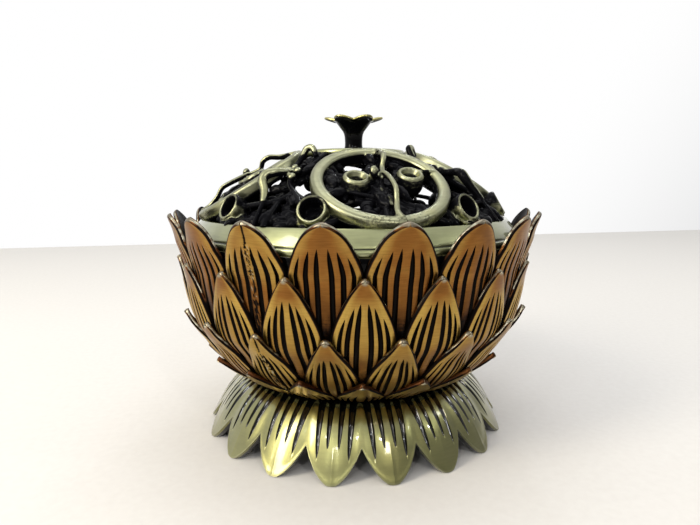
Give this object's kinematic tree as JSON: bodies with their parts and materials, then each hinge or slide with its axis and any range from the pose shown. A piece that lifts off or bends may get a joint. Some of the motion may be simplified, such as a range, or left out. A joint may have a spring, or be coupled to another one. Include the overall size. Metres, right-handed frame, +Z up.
{
  "type": "censer",
  "caption": "Round lotus-petal table censer in antiqued cast brass: flared petalled foot, bowl, loose incense holder and a pierced domed lid with a flower knob that lifts off.",
  "frame": {"origin": "on the table, under the middle of the foot", "axes": "+Z up through the knob; -Y is the front, where a foot petal and a lid medallion face"},
  "size_m": [0.0992, 0.1008, 0.0851],
  "materials": {
    "petal_brass": "antiqued cast brass, brushed, with bright rubbed petal tips and black grooves",
    "pale_brass": "pale greenish brass, worn, with black in its grooves",
    "rim_brass": "polished pale brass",
    "openwork_brass": "olive brass, rubbed on its high spots and glossy black in its recesses",
    "dark_brass": "near-black patina",
    "steel": "plain zinc-plated steel"
  },
  "bodies": {
    "base": {"foot_skirt": "pale_brass", "bowl_shell": "dark_brass", "petal_tier_top": "petal_brass", "petal_tier_upper": "petal_brass", "petal_tier_lower": "petal_brass", "petal_tier_bottom": "petal_brass", "foot_washer": "steel", "foot_screw": "steel"},
    "holder": {"incense_holder": "pale_brass"},
    "lid": {"lid_rim": "rim_brass", "lid_crown": "openwork_brass", "lid_medallion_1": "openwork_brass", "lid_medallion_2": "openwork_brass", "lid_medallion_3": "openwork_brass", "lid_medallion_4": "openwork_brass", "lid_spray_1": "openwork_brass", "lid_spray_2": "openwork_brass", "lid_spray_3": "openwork_brass", "lid_spray_4": "openwork_brass", "knob": "dark_brass", "knob_washer": "steel", "knob_screw": "steel"}
  },
  "joints": [
    {"name": "lid_lift", "type": "slide", "parent": "base", "child": "lid", "axis": [0, 0, 1], "range_m": [0, 0.06]},
    {"name": "holder_lift", "type": "slide", "parent": "base", "child": "holder", "axis": [0, 0, 1], "range_m": [0, 0.04]}
  ]
}
